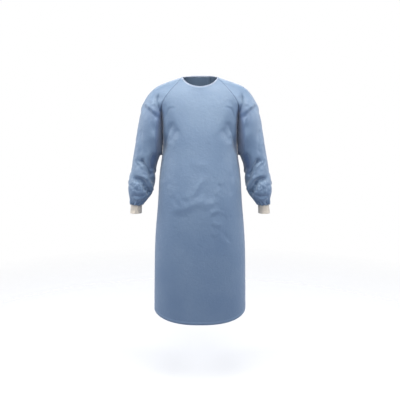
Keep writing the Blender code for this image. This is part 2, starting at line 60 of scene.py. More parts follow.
lightSettings = {               # spot, aim, width, height, power, spread in degrees, colour
    "overhead": ((0, -0.62, 1.9), (0, -0.2, -1.0), 1.7, 1.0, 45, 180, warmWhite),
    "high": ((0, -1.3, 1.2), (0, 0, -0.5), 1.8, 0.8, 20, 180, warmWhite),
    "front": ((0, -2.8, 0.5), (0, 0, -0.30), 1.6, 0.8, 3.1, 55, white),
    "flankLeft": ((2.2, -0.9, 0.7), (0, 0, -0.2), 0.8, 1.4, 38, 180, white),
    "flankRight": ((-2.2, -0.9, 0.7), (0, 0, -0.2), 0.8, 1.4, 38, 180, white),
    "sideLeft": ((2.2, 0.8, 0.5), (0, 0, -0.6), 0.8, 2.4, 17, 180, white),
    "sideRight": ((-2.2, 0.8, 0.5), (0, 0, -0.6), 0.8, 2.4, 17, 180, white),
    "back": ((0, 2.6, 1.2), (0, 0, -0.4), 1.6, 1.2, 34, 180, white),
}


def makeCamera(spot, pitch, lens):
    data = bpy.data.cameras.new("camera")
    data.lens = lens
    camera = bpy.data.objects.new("camera", data)
    camera.location = spot
    camera.rotation_euler = (math.radians(90 - pitch), 0, 0)
    scene.collection.objects.link(camera)
    scene.camera = camera


def makeLight(name, spot, aim, width, height, power, spread, colour):
    data = bpy.data.lights.new(name, "AREA")
    data.shape = "RECTANGLE"
    data.size = width
    data.size_y = height
    data.energy = power
    data.spread = math.radians(spread)
    data.color = colour
    light = bpy.data.objects.new(name, data)
    light.location = spot
    light.rotation_euler = (Vector(aim) - Vector(spot)).to_track_quat("-Z", "Y").to_euler()
    scene.collection.objects.link(light)


def makeWorld(ambient):
    # white behind everything, and a weaker white light from all round
    world = bpy.data.worlds.new("studio")
    scene.world = world
    world.use_nodes = True
    nodes, links = world.node_tree.nodes, world.node_tree.links
    nodes.clear()
    output = nodes.new("ShaderNodeOutputWorld")
    seen = nodes.new("ShaderNodeBackground")
    lit = nodes.new("ShaderNodeBackground")
    ray = nodes.new("ShaderNodeLightPath")
    mix = nodes.new("ShaderNodeMixShader")
    seen.inputs["Color"].default_value = (1, 1, 1, 1)
    lit.inputs["Color"].default_value = (0.20, 0.42, 1, 1)
    lit.inputs["Strength"].default_value = ambient
    links.new(ray.outputs["Is Camera Ray"], mix.inputs["Fac"])
    links.new(lit.outputs["Background"], mix.inputs[1])
    links.new(seen.outputs["Background"], mix.inputs[2])
    links.new(mix.outputs["Shader"], output.inputs["Surface"])


makeCamera(viewSettings["cameraSpot"], viewSettings["cameraPitch"], viewSettings["lens"])
for name, numbers in lightSettings.items():
    makeLight(name, *numbers)
makeWorld(viewSettings["ambient"])


# Materials

print("materials")


class Shading:
    # a material's node tree, with short ways to add to it
    def __init__(self, name):
        self.material = bpy.data.materials.new(name)
        self.material.use_nodes = True
        self.tree = self.material.node_tree
        self.surface = self.tree.nodes["Principled BSDF"]
        self.place = self.add("ShaderNodeTexCoord").outputs["Object"]

    def add(self, kind, **settings):
        node = self.tree.nodes.new(kind)
        for key, value in settings.items():
            setattr(node, key, value)
        return node

    def link(self, source, target):
        if isinstance(source, (int, float, tuple)):
            target.default_value = source
        else:
            self.tree.links.new(source, target)

    def sums(self, operation, *values, clamp=False):
        node = self.add("ShaderNodeMath", operation=operation, use_clamp=clamp)
        for socket, value in zip(node.inputs, values):
            self.link(value, socket)
        return node.outputs[0]

    def noise(self, scale, detail=3, rough=0.5, bend=0.0, place=None):
        node = self.add("ShaderNodeTexNoise")
        self.link(place or self.place, node.inputs["Vector"])
        node.inputs["Scale"].default_value = scale
        node.inputs["Detail"].default_value = detail
        node.inputs["Roughness"].default_value = rough
        node.inputs["Distortion"].default_value = bend
        return node.outputs["Fac"]

    def range(self, value, low, high, to=(0, 1)):
        node = self.add("ShaderNodeMapRange", clamp=True)
        self.link(value, node.inputs["Value"])
        node.inputs["From Min"].default_value = low
        node.inputs["From Max"].default_value = high
        node.inputs["To Min"].default_value = to[0]
        node.inputs["To Max"].default_value = to[1]
        return node.outputs["Result"]

    def mix(self, share, first, second, way="MIX"):
        node = self.add("ShaderNodeMix", data_type="RGBA", blend_type=way)
        self.link(share, node.inputs[0])
        self.link(first, node.inputs[6])
        self.link(second, node.inputs[7])
        return node.outputs[2]

    def attribute(self, name):
        return self.add("ShaderNodeAttribute", attribute_name=name).outputs["Fac"]

    def bump(self, height, distance, under=None, strength=1.0):
        node = self.add("ShaderNodeBump")
        node.inputs["Strength"].default_value = strength
        node.inputs["Distance"].default_value = distance
        self.link(height, node.inputs["Height"])
        if under:
            self.link(under, node.inputs["Normal"])
        return node.outputs["Normal"]


clothSettings = {
    "blue": (0.158, 0.228, 0.316, 1),
    "deepBlue": (0.124, 0.191, 0.285, 1),
    "thread": (0.24, 0.33, 0.45, 1),
    "seamShadeBlue": (0.060, 0.100, 0.175, 1),
    "foldShadeBlue": (0.022, 0.055, 0.160, 1),
    "bondDots": 760,            # dots to the metre, pressed into the nonwoven
    "hemLine": 0.0125,          # of the stitching above a hem's edge
    "seamLine": 0.0045,         # of the stitching beside a seam
    "stitchStep": 0.0034,
}


def stitchLine(look, away, along, line, step):
    # 1 on a row of short stitches at the given distance from an edge
    across = look.range(look.sums("ABSOLUTE", look.sums("SUBTRACT", away, line)), 0.0003, 0.0006, (1, 0))
    run = look.sums("FRACT", look.sums("DIVIDE", along, step))
    dash = look.range(look.sums("ABSOLUTE", look.sums("SUBTRACT", run, 0.5)), 0.32, 0.38, (1, 0))
    return look.sums("MULTIPLY", across, dash)


def makeClothLook(name, settings):
    # spunbond nonwoven: soft blotches, loose fibres, rows of small bond dots, stitched edges, and painted shade
    # along the seams, in the armpit folds and on the sleeves' inner sides
    look = Shading(name)
    broad = look.noise(5.5, 2)
    blotch = look.noise(60, 4, 0.6)
    fibres = look.noise(900, 5, 0.7, 1.5)
    dots = look.add("ShaderNodeTexVoronoi", feature="F1")
    look.link(look.place, dots.inputs["Vector"])
    dots.inputs["Scale"].default_value = settings["bondDots"]
    dots.inputs["Randomness"].default_value = 0.35
    dot = look.range(dots.outputs["Distance"], 0.12, 0.34, (1, 0))
    along = look.attribute("along")
    hemAway, seamAway = look.attribute("hemAway"), look.attribute("seamAway")
    hemStitch = stitchLine(look, hemAway, along, settings["hemLine"], settings["stitchStep"])
    seamStitch = stitchLine(look, seamAway, along, settings["seamLine"], settings["stitchStep"])
    stitch = look.sums("MAXIMUM", hemStitch, seamStitch)
    fold = look.range(hemAway, settings["hemLine"] + 0.0016, settings["hemLine"] + 0.0026, (1, 0))

    colour = look.mix(look.range(broad, 0.3, 0.7), settings["blue"], settings["deepBlue"])
    colour = look.mix(look.range(blotch, 0.35, 0.75, (0, 0.5)), colour, settings["deepBlue"])
    colour = look.mix(look.range(fibres, 0.55, 0.8, (0, 0.35)), colour, settings["thread"])
    colour = look.mix(look.sums("MULTIPLY", dot, 0.22), colour, settings["deepBlue"])
    colour = look.mix(look.sums("MULTIPLY", fold, 0.16), colour, settings["thread"])
    colour = look.mix(stitch, colour, settings["thread"])
    # painted shade along the drawn-in seam
    seamShade = look.range(seamAway, 0.0006, 0.0030, (0.8, 0))
    colour = look.mix(seamShade, colour, settings["seamShadeBlue"])
    # painted shade: the armpit fold and the sleeves' inner sides, turned away from the light, mixed towards navy
    colour = look.mix(look.attribute("foldShade"), colour, settings["foldShadeBlue"])
    look.link(colour, look.surface.inputs["Base Color"])
    rough = look.sums("ADD", look.range(blotch, 0.3, 0.7, (0.46, 0.58)), look.sums("MULTIPLY", dot, -0.08))
    look.link(rough, look.surface.inputs["Roughness"])
    look.surface.inputs["Specular IOR Level"].default_value = 0.55
    look.surface.inputs["Sheen Weight"].default_value = 0.35
    look.surface.inputs["Sheen Roughness"].default_value = 0.5
    look.surface.inputs["Sheen Tint"].default_value = (0.92, 0.96, 1, 1)

    crumple = look.bump(look.noise(70, 4, 0.55, 0.6), 0.0016)
    pressed = look.bump(look.sums("SUBTRACT", 1.0, dot), 0.00012, crumple)
    furred = look.bump(fibres, 0.00008, pressed)
    folded = look.bump(fold, 0.0005, furred)
    sewn = look.bump(stitch, 0.0003, folded)
    look.link(sewn, look.surface.inputs["Normal"])
    return look.material


def makeBindingLook(name, colour, edge):
    # narrow woven tape: fine crossing threads and soft blotches
    look = Shading(name)
    warp = look.add("ShaderNodeTexWave", bands_direction="Z")
    weft = look.add("ShaderNodeTexWave", bands_direction="X")
    for wave in (warp, weft):
        look.link(look.place, wave.inputs["Vector"])
        wave.inputs["Scale"].default_value = 420
        wave.inputs["Distortion"].default_value = 1.2
    weave = look.sums("MULTIPLY", warp.outputs["Fac"], weft.outputs["Fac"])
    blotch = look.noise(150, 3)
    shade = look.mix(look.range(blotch, 0.3, 0.7, (0, 0.6)), colour, edge)
    shade = look.mix(look.sums("MULTIPLY", weave, 0.35), shade, edge)
    look.link(shade, look.surface.inputs["Base Color"])
    look.surface.inputs["Roughness"].default_value = 0.7
    look.surface.inputs["Sheen Weight"].default_value = 0.2
    look.surface.inputs["Specular IOR Level"].default_value = 0.3
    under = look.bump(blotch, 0.0008)
    look.link(look.bump(weave, 0.00015, under), look.surface.inputs["Normal"])
    return look.material


def makeKnitLook(name, colour, valleyShadeAndMottle):
    # ribbed knit: painted shade between the ribs, with rows of loops across them
    look = Shading(name)
    rib = look.attribute("rib")
    rows = look.add("ShaderNodeTexWave", bands_direction="Z")
    look.link(look.place, rows.inputs["Vector"])
    rows.inputs["Scale"].default_value = 190
    rows.inputs["Distortion"].default_value = 1.5
    rows.inputs["Detail"].default_value = 2
    fuzz = look.noise(1500, 4, 0.7)
    blotch = look.noise(80, 3)
    # painted shade in the valleys between the ribs
    shade = look.mix(rib, valleyShadeAndMottle, colour)
    shade = look.mix(look.range(blotch, 0.3, 0.7, (0, 0.25)), shade, valleyShadeAndMottle)
    shade = look.mix(look.sums("MULTIPLY", rows.outputs["Fac"], 0.12), shade, valleyShadeAndMottle)
    look.link(shade, look.surface.inputs["Base Color"])
    look.surface.inputs["Roughness"].default_value = 0.85
    look.surface.inputs["Sheen Weight"].default_value = 0.35
    look.surface.inputs["Specular IOR Level"].default_value = 0.2
    loops = look.bump(rows.outputs["Fac"], 0.0003)
    look.link(look.bump(fuzz, 0.00015, loops), look.surface.inputs["Normal"])
    return look.material


def makeFloorLook(name, colour, radius):
    # pale paper that fades out towards its rim
    look = Shading(name)
    grain = look.noise(40, 3)
    look.link(look.mix(look.range(grain, 0.3, 0.7, (0, 0.02)), colour, (0.8, 0.8, 0.8, 1)),
              look.surface.inputs["Base Color"])
    look.surface.inputs["Roughness"].default_value = 0.9
    look.surface.inputs["Specular IOR Level"].default_value = 0.1
    length = look.add("ShaderNodeVectorMath", operation="LENGTH")
    look.link(look.place, length.inputs[0])
    clear = look.add("ShaderNodeBsdfTransparent")
    blend = look.add("ShaderNodeMixShader")
    away = look.sums("SQRT", look.sums("SUBTRACT", look.sums("POWER", length.outputs["Value"], 2.0), 2.25))
    look.link(look.range(away, 0.35 * radius, 0.97 * radius, (0.55, 1)), blend.inputs["Fac"])
    look.link(look.surface.outputs["BSDF"], blend.inputs[1])
    look.link(clear.outputs["BSDF"], blend.inputs[2])
    look.link(blend.outputs["Shader"], look.tree.nodes["Material Output"].inputs["Surface"])
    return look.material


gownCloth = makeClothLook("gownCloth", clothSettings)
neckTape = makeBindingLook("neckTape", (0.33, 0.38, 0.46, 1), (0.25, 0.30, 0.38, 1))
cuffKnit = makeKnitLook("cuffKnit", (0.81, 0.72, 0.58, 1), (0.46, 0.41, 0.34, 1))
paper = makeFloorLook("paper", (0.93, 0.93, 0.93, 1), viewSettings["floorRadius"])


def makeFloor(level, radius, material):
    bm = bmesh.new()
    bmesh.ops.create_circle(bm, cap_ends=True, segments=96, radius=radius)
    bmesh.ops.translate(bm, verts=bm.verts, vec=(0, 0, level))
    mesh = bpy.data.meshes.new("floor")
    bm.to_mesh(mesh)
    bm.free()
    mesh.materials.append(material)
    floor = bpy.data.objects.new("floor", mesh)
    scene.collection.objects.link(floor)


makeFloor(viewSettings["floorLevel"], viewSettings["floorRadius"], paper)


# Cloth: the outer side of a CAD wall, made dense and smooth, then creased

def smoothStep(share):
    share = np.clip(share, 0.0, 1.0)
    return share * share * (3 - 2 * share)


def mergedCopy(node):
    bm = bmesh.new()
    bm.from_mesh(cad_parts[node].data)
    bmesh.ops.remove_doubles(bm, verts=bm.verts, dist=1e-5)
    return bm


def toQuads(bm):
    bmesh.ops.join_triangles(bm, faces=bm.faces, angle_face_threshold=math.pi,
                             angle_shape_threshold=math.pi)


def keepOuterSide(bm, middle, wallThick):
    # the rim's faces have an edge as short as the wall is thick; without them two sheets are left
    short = [e for e in bm.edges if e.calc_length() < 1.38 * wallThick]
    rim = {f for e in short for f in e.link_faces}
    bmesh.ops.delete(bm, geom=list(rim), context="FACES")
    score = {}
    left = set(bm.faces)
    while left:
        start = left.pop()
        sheet, edge = [start], [start]
        while edge:
            for e in edge.pop().edges:
                for face in e.link_faces:
                    if face in left:
                        left.discard(face)
                        sheet.append(face)
                        edge.append(face)
        total = 0.0
        for face in sheet:
            spot = face.calc_center_median()
            total += face.normal.dot(spot - middle(spot)) * face.calc_area()
        score[total] = sheet
    best = max(score)
    for total, sheet in score.items():
        if total != best:
            bmesh.ops.delete(bm, geom=sheet, context="FACES")
    loose = [v for v in bm.verts if not v.link_faces]
    bmesh.ops.delete(bm, geom=loose, context="VERTS")


def pinCorners(bm, angle=35):
    # a border that turns sharply keeps its corner when the mesh is smoothed
    crease = bm.verts.layers.float.get("crease_vert") or bm.verts.layers.float.new("crease_vert")
    for vert in bm.verts:
        rim = [e for e in vert.link_edges if e.is_boundary]
        if len(rim) == 2:
            first, second = (e.other_vert(vert).co - vert.co for e in rim)
            if math.degrees(first.angle(-second)) > angle:
                vert[crease] = 1.0


def linkObject(name, mesh, material):
    mesh.materials.clear()
    mesh.materials.append(material)
    obj = bpy.data.objects.new(name, mesh)
    scene.collection.objects.link(obj)
    return obj


def smoothed(bm, name, levels, material):
    rough = bpy.data.meshes.new(name)
    bm.to_mesh(rough)
    bm.free()
    obj = linkObject(name, rough, material)
    smoothing = obj.modifiers.new("smoothing", "SUBSURF")
    smoothing.levels = smoothing.render_levels = levels
    smoothing.boundary_smooth = "PRESERVE_CORNERS"
    shaped = obj.evaluated_get(bpy.context.evaluated_depsgraph_get())
    mesh = bpy.data.meshes.new_from_object(shaped)
    obj.modifiers.clear()
    obj.data = mesh
    mesh.name = name
    mesh.shade_smooth()
    return obj


def bodyMiddle(spot):
    return Vector((0, 0, spot.z))


def sleeveMiddle(spot):
    side = 1 if spot.x > 0 else -1
    down = min(max((-0.18 - spot.z) / 0.42, 0), 1)
    return Vector((side * (0.205 + 0.108 * down), -0.021 * down, spot.z))


def pointsOf(obj):
    count = len(obj.data.vertices)
    spots, facing = np.empty(count * 3), np.empty(count * 3)
    obj.data.vertices.foreach_get("co", spots)
    obj.data.vertex_normals.foreach_get("vector", facing)
    return spots.reshape(-1, 3), facing.reshape(-1, 3)


def putPoints(obj, spots):
    obj.data.vertices.foreach_set("co", spots.ravel())
    obj.data.update()


def setAttribute(obj, name, values):
    layer = obj.data.attributes.get(name) or obj.data.attributes.new(name, "FLOAT", "POINT")
    layer.data.foreach_set("value", np.asarray(values, np.float32))


def bordersOf(obj):
    # the open edges as samples a millimetre or so apart: place, direction and run along the border
    bm = bmesh.new()
    bm.from_mesh(obj.data)
    spots, ways, runs = [], [], []
    left = {e for e in bm.edges if e.is_boundary}
    while left:
        edge = left.pop()
        chain = [edge.verts[0], edge.verts[1]]
        for end in (1, 0):
            while True:
                tip = chain[-1] if end else chain[0]
                onward = [e for e in tip.link_edges if e in left]
                if not onward:
                    break
                left.discard(onward[0])
                other = onward[0].other_vert(tip)
                chain.append(other) if end else chain.insert(0, other)
        run = 0.0
        for first, second in zip(chain[:-1], chain[1:]):
            way = second.co - first.co
            count = max(2, int(way.length / 0.001))
            for k in range(count):
                spots.append(first.co + way * (k / count))
                ways.append(way.normalized())
                runs.append(run + way.length * k / count)
            run += way.length
    bm.free()
    return np.array(spots), np.array(ways), np.array(runs)


def distanceTo(obj, spots, keep):
    # how far each point lies from the chosen border samples, and its run along them
    places, _, runs = keep
    tree = kdtree.KDTree(len(places))
    for k, place in enumerate(places):
        tree.insert(place, k)
    tree.balance()
    away, along = np.empty(len(spots)), np.empty(len(spots))
    for k, spot in enumerate(spots):
        _, index, away[k] = tree.find(spot)
        along[k] = runs[index]
    return away, along


def choose(borders, mask):
    return tuple(values[mask] for values in borders)


def fractal(spots, scale, octaves, seed=0.0, stretch=(1, 1, 1)):
    shift = Vector((seed, 2.3 * seed, -1.7 * seed))
    bent = spots * np.array(stretch) * scale
    return np.array([noise.fractal(Vector(p) + shift, 0.9, 2.1, octaves) for p in bent])


def ridged(spots, scale, octaves, seed=0.0, stretch=(1, 1, 1)):
    # sharp lines with soft fields between them, about 0 to 1
    shift = Vector((seed, -1.3 * seed, 0.7 * seed))
    bent = spots * np.array(stretch) * scale
    return np.array([noise.ridged_multi_fractal(Vector(p) + shift, 1.0, 2.2, octaves, 1.0, 2.0)
                     for p in bent]) * 0.5


def creased(spots, facing, creases, mirror=1, wander=0.0015):
    # Each crease is (side, path, width, depth, ridge). The path has (x, z) points for the
    # front and back and (y, z) points for the outer and inner side. Depth is below the cloth,
    # and ridge is the height of the roll beside it, left of the path as it is drawn.
    total = np.zeros(len(spots))
    looks = {"front": (0, 1, -1), "back": (0, 1, 1), "outer": (1, 0, 1), "inner": (1, 0, -1)}
    for side, path, width, depth, ridge in creases:
        axis, across, sign = looks[side]
        flat = spots[:, (axis, 2)].copy()
        turned = facing[:, across] * sign
        if axis == 0:
            flat[:, 0] *= mirror
        else:
            turned = turned * mirror
        path = np.array(path, float)
        lengths = np.linalg.norm(np.diff(path, axis=0), axis=1)
        starts = np.append(0, np.cumsum(lengths))
        near, place, hand = np.full(len(spots), 9.0), np.zeros(len(spots)), np.ones(len(spots))
        for k, (start, end) in enumerate(zip(path[:-1], path[1:])):
            way = end - start
            share = np.clip(((flat - start) @ way) / (way @ way), 0, 1)
            off = flat - start - share[:, None] * way
            gap = np.hypot(off[:, 0], off[:, 1])
            better = gap < near
            near[better] = gap[better]
            place[better] = (starts[k] + share * lengths[k])[better]
            hand[better] = np.sign(way[0] * off[:, 1] - way[1] * off[:, 0])[better]
        run = place / starts[-1]
        live = near < 6 * width + 0.01
        if not live.any():
            continue
        waver = np.zeros(len(spots))
        waver[live] = [noise.noise(Vector((p * 55, 7.7 * width * 100, 3.1 * depth * 1000)))
                       for p in place[live]]
        signed = hand * near + wander * waver
        taper = smoothStep(run / 0.22) ** 0.7 * smoothStep((1 - run) / 0.22) ** 0.7
        beyond = np.where((run <= 0) | (run >= 1), np.exp(-(near / width) ** 2), 1.0)
        reach = width * (1 + 0.3 * waver)
        soft = 0.35 * reach
        valleyShadeAndMottle = -depth * np.exp(-(np.sqrt(signed ** 2 + soft ** 2) - soft) / reach)
        roll = ridge * np.exp(-((signed - 2.0 * reach) / (1.3 * reach)) ** 2)
        shown = smoothStep((turned + 0.15) / 0.4)
        total += (valleyShadeAndMottle + roll) * taper * beyond * shown * live
    return total


print("cloth pieces")

# x and z of the front's and back's creases are those of the worn gown, seen from that side
frontSettings = {
    "wallThick": 0.0020,        # of the solid that the cloth is taken from
    "thickness": 0.0009,
    "drape": 0.0014,            # soft waves of the hanging skirt
    "crumple": 0.0004,
    "armpitDepth": 0.020,       # how far the seam sinks beside the chest
    "armpitReach": 0.011,
    "tuckedShade": 0.85,         # share of painted shade in that fold
    "bothSides": [
        # side, path, width, depth, ridge
        ("front", [(0.113, -0.142), (0.130, -0.1425), (0.146, -0.146), (0.154, -0.167), (0.160, -0.190)],
         0.0050, 0.0015, 0.0012),
        ("front", [(0.103, -0.236), (0.121, -0.264), (0.134, -0.286), (0.149, -0.310)], 0.014, 0.0032, 0.0006),
        ("front", [(0.127, -0.202), (0.145, -0.246), (0.162, -0.289), (0.174, -0.337), (0.177, -0.366)],
         0.011, 0.0070, 0.0022),
        ("front", [(0.190, -0.500), (0.176, -0.470), (0.172, -0.420)], 0.012, 0.0026, 0.0014),
    ],
    "oneSide": [
        ("front", [(-0.151, -0.640), (-0.123, -0.650), (-0.079, -0.652), (-0.045, -0.632), (-0.012, -0.618),
                   (0.016, -0.624), (0.044, -0.644)], 0.018, 0.0012, 0.0042),
        ("front", [(-0.051, -0.592), (-0.012, -0.555), (0.021, -0.512), (0.043, -0.473)], 0.012, 0.0010, 0.0024),
        ("front", [(0.150, -0.650), (0.122, -0.630), (0.099, -0.619)], 0.0060, 0.0000, 0.0030),
        ("front", [(0.105, -0.634), (0.127, -0.648), (0.152, -0.664)], 0.0060, 0.0030, 0.0000),
        ("front", [(0.027, -0.596), (0.044, -0.602), (0.063, -0.609)], 0.009, 0.0012, 0.0020),
        ("front", [(0.055, -0.656), (0.077, -0.645), (0.100, -0.639)], 0.009, 0.0010, 0.0026),
        ("front", [(0.044, -0.694), (0.066, -0.706), (0.100, -0.719)], 0.010, 0.0012, 0.0018),
        ("front", [(0.044, -0.747), (0.069, -0.757), (0.100, -0.751)], 0.011, 0.0012, 0.0010),
        ("front", [(0.055, -0.546), (0.069, -0.557), (0.094, -0.554)], 0.010, 0.0010, 0.0016),
        ("front", [(0.077, -0.501), (0.099, -0.512), (0.121, -0.501)], 0.009, 0.0016, 0.0016),
        ("front", [(-0.128, -0.557), (-0.115, -0.585), (-0.090, -0.613)], 0.010, 0.0014, 0.0018),
        ("front", [(-0.095, -0.574), (-0.068, -0.580), (-0.051, -0.571)], 0.009, 0.0016, 0.0014),
        ("front", [(0.154, -0.445), (0.143, -0.501), (0.149, -0.557)], 0.011, 0.0022, 0.0018),
        ("front", [(-0.150, -0.518), (-0.142, -0.473), (-0.150, -0.423)], 0.012, 0.0022, 0.0014),
        ("front", [(0.156, -0.784), (0.134, -0.761), (0.100, -0.727)], 0.010, 0.0018, 0.0014),
        ("front", [(0.020, -0.290), (0.038, -0.350), (0.030, -0.420)], 0.018, 0.0010, 0.0010),
        ("front", [(-0.060, -0.410), (-0.020, -0.440), (0.050, -0.438)], 0.016, 0.0010, 0.0010),
    ],
}

backSettings = {
    "wallThick": 0.0020,
    "thickness": 0.0009,
    "drape": 0.0018,
    "crumple": 0.0005,
    "armpitDepth": 0.020,
    "armpitReach": 0.011,
    "tuckedShade": 0.85,         # share of painted shade in that fold
    "bothSides": [],
    "oneSide": [
        ("back", [(0.152, -0.150), (0.130, -0.215), (0.116, -0.305)], 0.012, 0.0040, 0.0020),
        ("back", [(-0.118, -0.290), (-0.128, -0.220), (-0.156, -0.145)], 0.013, 0.0045, 0.0020),
        ("back", [(0.060, -0.110), (0.020, -0.150), (-0.010, -0.205)], 0.014, 0.0016, 0.0012),
        ("back", [(0.110, -0.425), (0.030, -0.452), (-0.055, -0.464)], 0.010, 0.0026, 0.0018),
        ("back", [(-0.050, -0.484), (0.040, -0.500), (0.120, -0.530)], 0.010, 0.0026, 0.0018),
        ("back", [(-0.160, -0.440), (-0.172, -0.400), (-0.168, -0.350)], 0.011, 0.0024, 0.0014),
        ("back", [(-0.186, -0.560), (-0.172, -0.510), (-0.160, -0.490)], 0.009, 0.0024, 0.0016),
        ("back", [(0.142, -0.520), (0.132, -0.700), (0.148, -0.940)], 0.018, 0.0050, 0.0030),
        ("back", [(-0.162, -0.950), (-0.150, -0.720), (-0.158, -0.530)], 0.018, 0.0050, 0.0030),
        ("back", [(0.050, -0.560), (0.042, -0.750), (0.054, -0.980)], 0.022, 0.0030, 0.0022),
        ("back", [(-0.060, -1.000), (-0.070, -0.780), (-0.062, -0.570)], 0.022, 0.0030, 0.0022),
    ],
}

# drawn for the wearer's left sleeve and mirrored for the right one
sleeveSettings = {
    "wallThick": 0.0020,
    "thickness": 0.0009,
    "crumple": 0.0022,
    "armpitDepth": 0.020,
    "armpitReach": 0.036,
    # painted shade in the armpit fold and on the inner side that faces the body
    "tuckedShade": 0.85,
    "innerShade": 0.55,
    "endDrawnIn": 0.80,         # share by which the end narrows towards the cuff
    "gathers": 15,
    "gatherHeight": 0.0100,
    "creases": [
        ("front", [(0.1955, -0.070), (0.1995, -0.099), (0.1985, -0.121), (0.190, -0.146), (0.184, -0.168)],
         0.0052, 0.0090, 0.0020),
        ("front", [(0.196, -0.196), (0.2115, -0.181), (0.234, -0.161), (0.259, -0.142), (0.276, -0.133)],
         0.0085, 0.0046, 0.0060),
        ("front", [(0.207, -0.1315), (0.228, -0.1374), (0.240, -0.155)], 0.0050, 0.0014, 0.0018),
        ("front", [(0.210, -0.108), (0.228, -0.120)], 0.0050, 0.0012, 0.0012),
        ("front", [(0.280, -0.238), (0.282, -0.286), (0.280, -0.337), (0.291, -0.370)], 0.0070, 0.0034, 0.0030),
        ("front", [(0.288, -0.244), (0.294, -0.277), (0.299, -0.310)], 0.0050, 0.0026, 0.0000),
        ("front", [(0.216, -0.354), (0.224, -0.374), (0.231, -0.392), (0.232, -0.420), (0.224, -0.446)],
         0.011, 0.0085, 0.0025),
        ("front", [(0.286, -0.382), (0.274, -0.399), (0.262, -0.415), (0.253, -0.435), (0.242, -0.456),
                   (0.234, -0.472)], 0.0078, 0.0135, 0.0060),
        ("front", [(0.304, -0.374), (0.297, -0.389), (0.288, -0.403)], 0.0050, 0.0018, 0.0020),
        ("front", [(0.313, -0.388), (0.308, -0.408), (0.299, -0.424)], 0.0050, 0.0018, 0.0014),
        ("front", [(0.2385, -0.556), (0.247, -0.539), (0.256, -0.518), (0.266, -0.498), (0.281, -0.487),
                   (0.302, -0.4815), (0.324, -0.476)], 0.0088, 0.0145, 0.0070),
        ("front", [(0.232, -0.547), (0.244, -0.552), (0.257, -0.551)], 0.0060, 0.0100, 0.0000),
        ("front", [(0.248, -0.470), (0.244, -0.500), (0.240, -0.520)], 0.0070, 0.0028, 0.0020),
        ("front", [(0.319, -0.479), (0.315, -0.4915), (0.306, -0.498)], 0.0050, 0.0030, 0.0022),
        ("front", [(0.262, -0.545), (0.263, -0.535), (0.2655, -0.518), (0.267, -0.502)], 0.0060, 0.0040, 0.0026),
        ("front", [(0.329, -0.558), (0.312, -0.5645), (0.294, -0.5665), (0.273, -0.5635), (0.2585, -0.555)],
         0.0070, 0.0052, 0.0036),
        ("front", [(0.338, -0.508), (0.326, -0.520), (0.322, -0.538)], 0.0055, 0.0030, 0.0024),
        ("front", [(0.300, -0.513), (0.305, -0.530), (0.299, -0.546)], 0.0055, 0.0030, 0.0024),
        ("front", [(0.284, -0.500), (0.290, -0.516), (0.284, -0.532)], 0.0050, 0.0024, 0.0020),
        ("back", [(0.216, -0.196), (0.240, -0.158), (0.266, -0.130)], 0.010, 0.0040, 0.0030),
        ("back", [(0.286, -0.394), (0.262, -0.425), (0.244, -0.466)], 0.006, 0.0052, 0.0032),
        ("back", [(0.326, -0.468), (0.298, -0.486), (0.270, -0.524)], 0.006, 0.0052, 0.0032),
        ("back", [(0.300, -0.428), (0.314, -0.440), (0.326, -0.446)], 0.005, 0.0022, 0.0014),
        ("back", [(0.236, -0.250), (0.240, -0.285), (0.252, -0.318)], 0.010, 0.0028, 0.0020),
        ("back", [(0.332, -0.526), (0.318, -0.542), (0.314, -0.562)], 0.005, 0.0030, 0.0020),
        ("back", [(0.268, -0.543), (0.274, -0.556), (0.276, -0.574)], 0.005, 0.0034, 0.0020),
        ("back", [(0.300, -0.514), (0.292, -0.535), (0.298, -0.558)], 0.005, 0.0030, 0.0020),
        ("outer", [(-0.048, -0.150), (0.000, -0.176), (0.042, -0.166)], 0.012, 0.0032, 0.0024),
        ("outer", [(-0.030, -0.285), (0.000, -0.325), (0.010, -0.372)], 0.009, 0.0026, 0.0016),
        ("outer", [(0.034, -0.418), (0.000, -0.450), (-0.042, -0.470)], 0.006, 0.0038, 0.0026),
        ("outer", [(-0.052, -0.500), (-0.020, -0.520), (0.024, -0.514)], 0.006, 0.0034, 0.0022),
        ("outer", [(-0.034, -0.553), (-0.014, -0.572), (0.010, -0.568)], 0.005, 0.0026, 0.0014),
        ("inner", [(-0.042, -0.430), (0.000, -0.466), (0.032, -0.452)], 0.006, 0.0042, 0.0022),
        ("inner", [(0.032, -0.500), (-0.012, -0.532), (-0.050, -0.520)], 0.006, 0.0042, 0.0022),
    ],
}


def startPiece(node, name, settings, middle):
    bm = mergedCopy(node)
    keepOuterSide(bm, middle, settings["wallThick"])
    toQuads(bm)
    pinCorners(bm)
    return smoothed(bm, name, 3, gownCloth)


def edgeDistances(obj, spots, isHem, isSeam):
    # distances to hem and seam, and the run along the nearer of them, kept for the stitching
    borders = bordersOf(obj)
    found = []
    for pick in (isHem, isSeam):
        mask = pick(*borders[:2]) if pick else np.zeros(len(borders[0]), bool)
        found.append(distanceTo(obj, spots, choose(borders, mask)) if mask.any()
                     else (np.full(len(spots), 1.0), np.zeros(len(spots))))
    (hemAway, hemAlong), (seamAway, seamAlong) = found
    setAttribute(obj, "hemAway", hemAway)
    setAttribute(obj, "seamAway", seamAway)
    setAttribute(obj, "along", np.where(hemAway < seamAway, hemAlong, seamAlong))
    return hemAway, seamAway, seamAlong


def seamGroove(seamAway, along):
    # the seam is drawn in a little, with small uneven puckers on both sides
    pucker = np.array([noise.noise(Vector((a * 75, 0.3, 1.7))) for a in along])
    return -0.0010 * np.exp(-(seamAway / 0.0035) ** 2) + 0.0007 * pucker * np.exp(-(seamAway / 0.011) ** 2)


def armpitHollow(spots, seamAway, reach):
    # both pieces sink together where the sleeve folds in against the chest, most at its middle
    level = smoothStep((-spots[:, 2] - 0.110) / 0.07) * smoothStep((spots[:, 2] + 0.385) / 0.08)
    front = smoothStep((-spots[:, 1] - 0.005) / 0.03)
    return level * front * np.exp(-(seamAway / reach) ** 1.4)


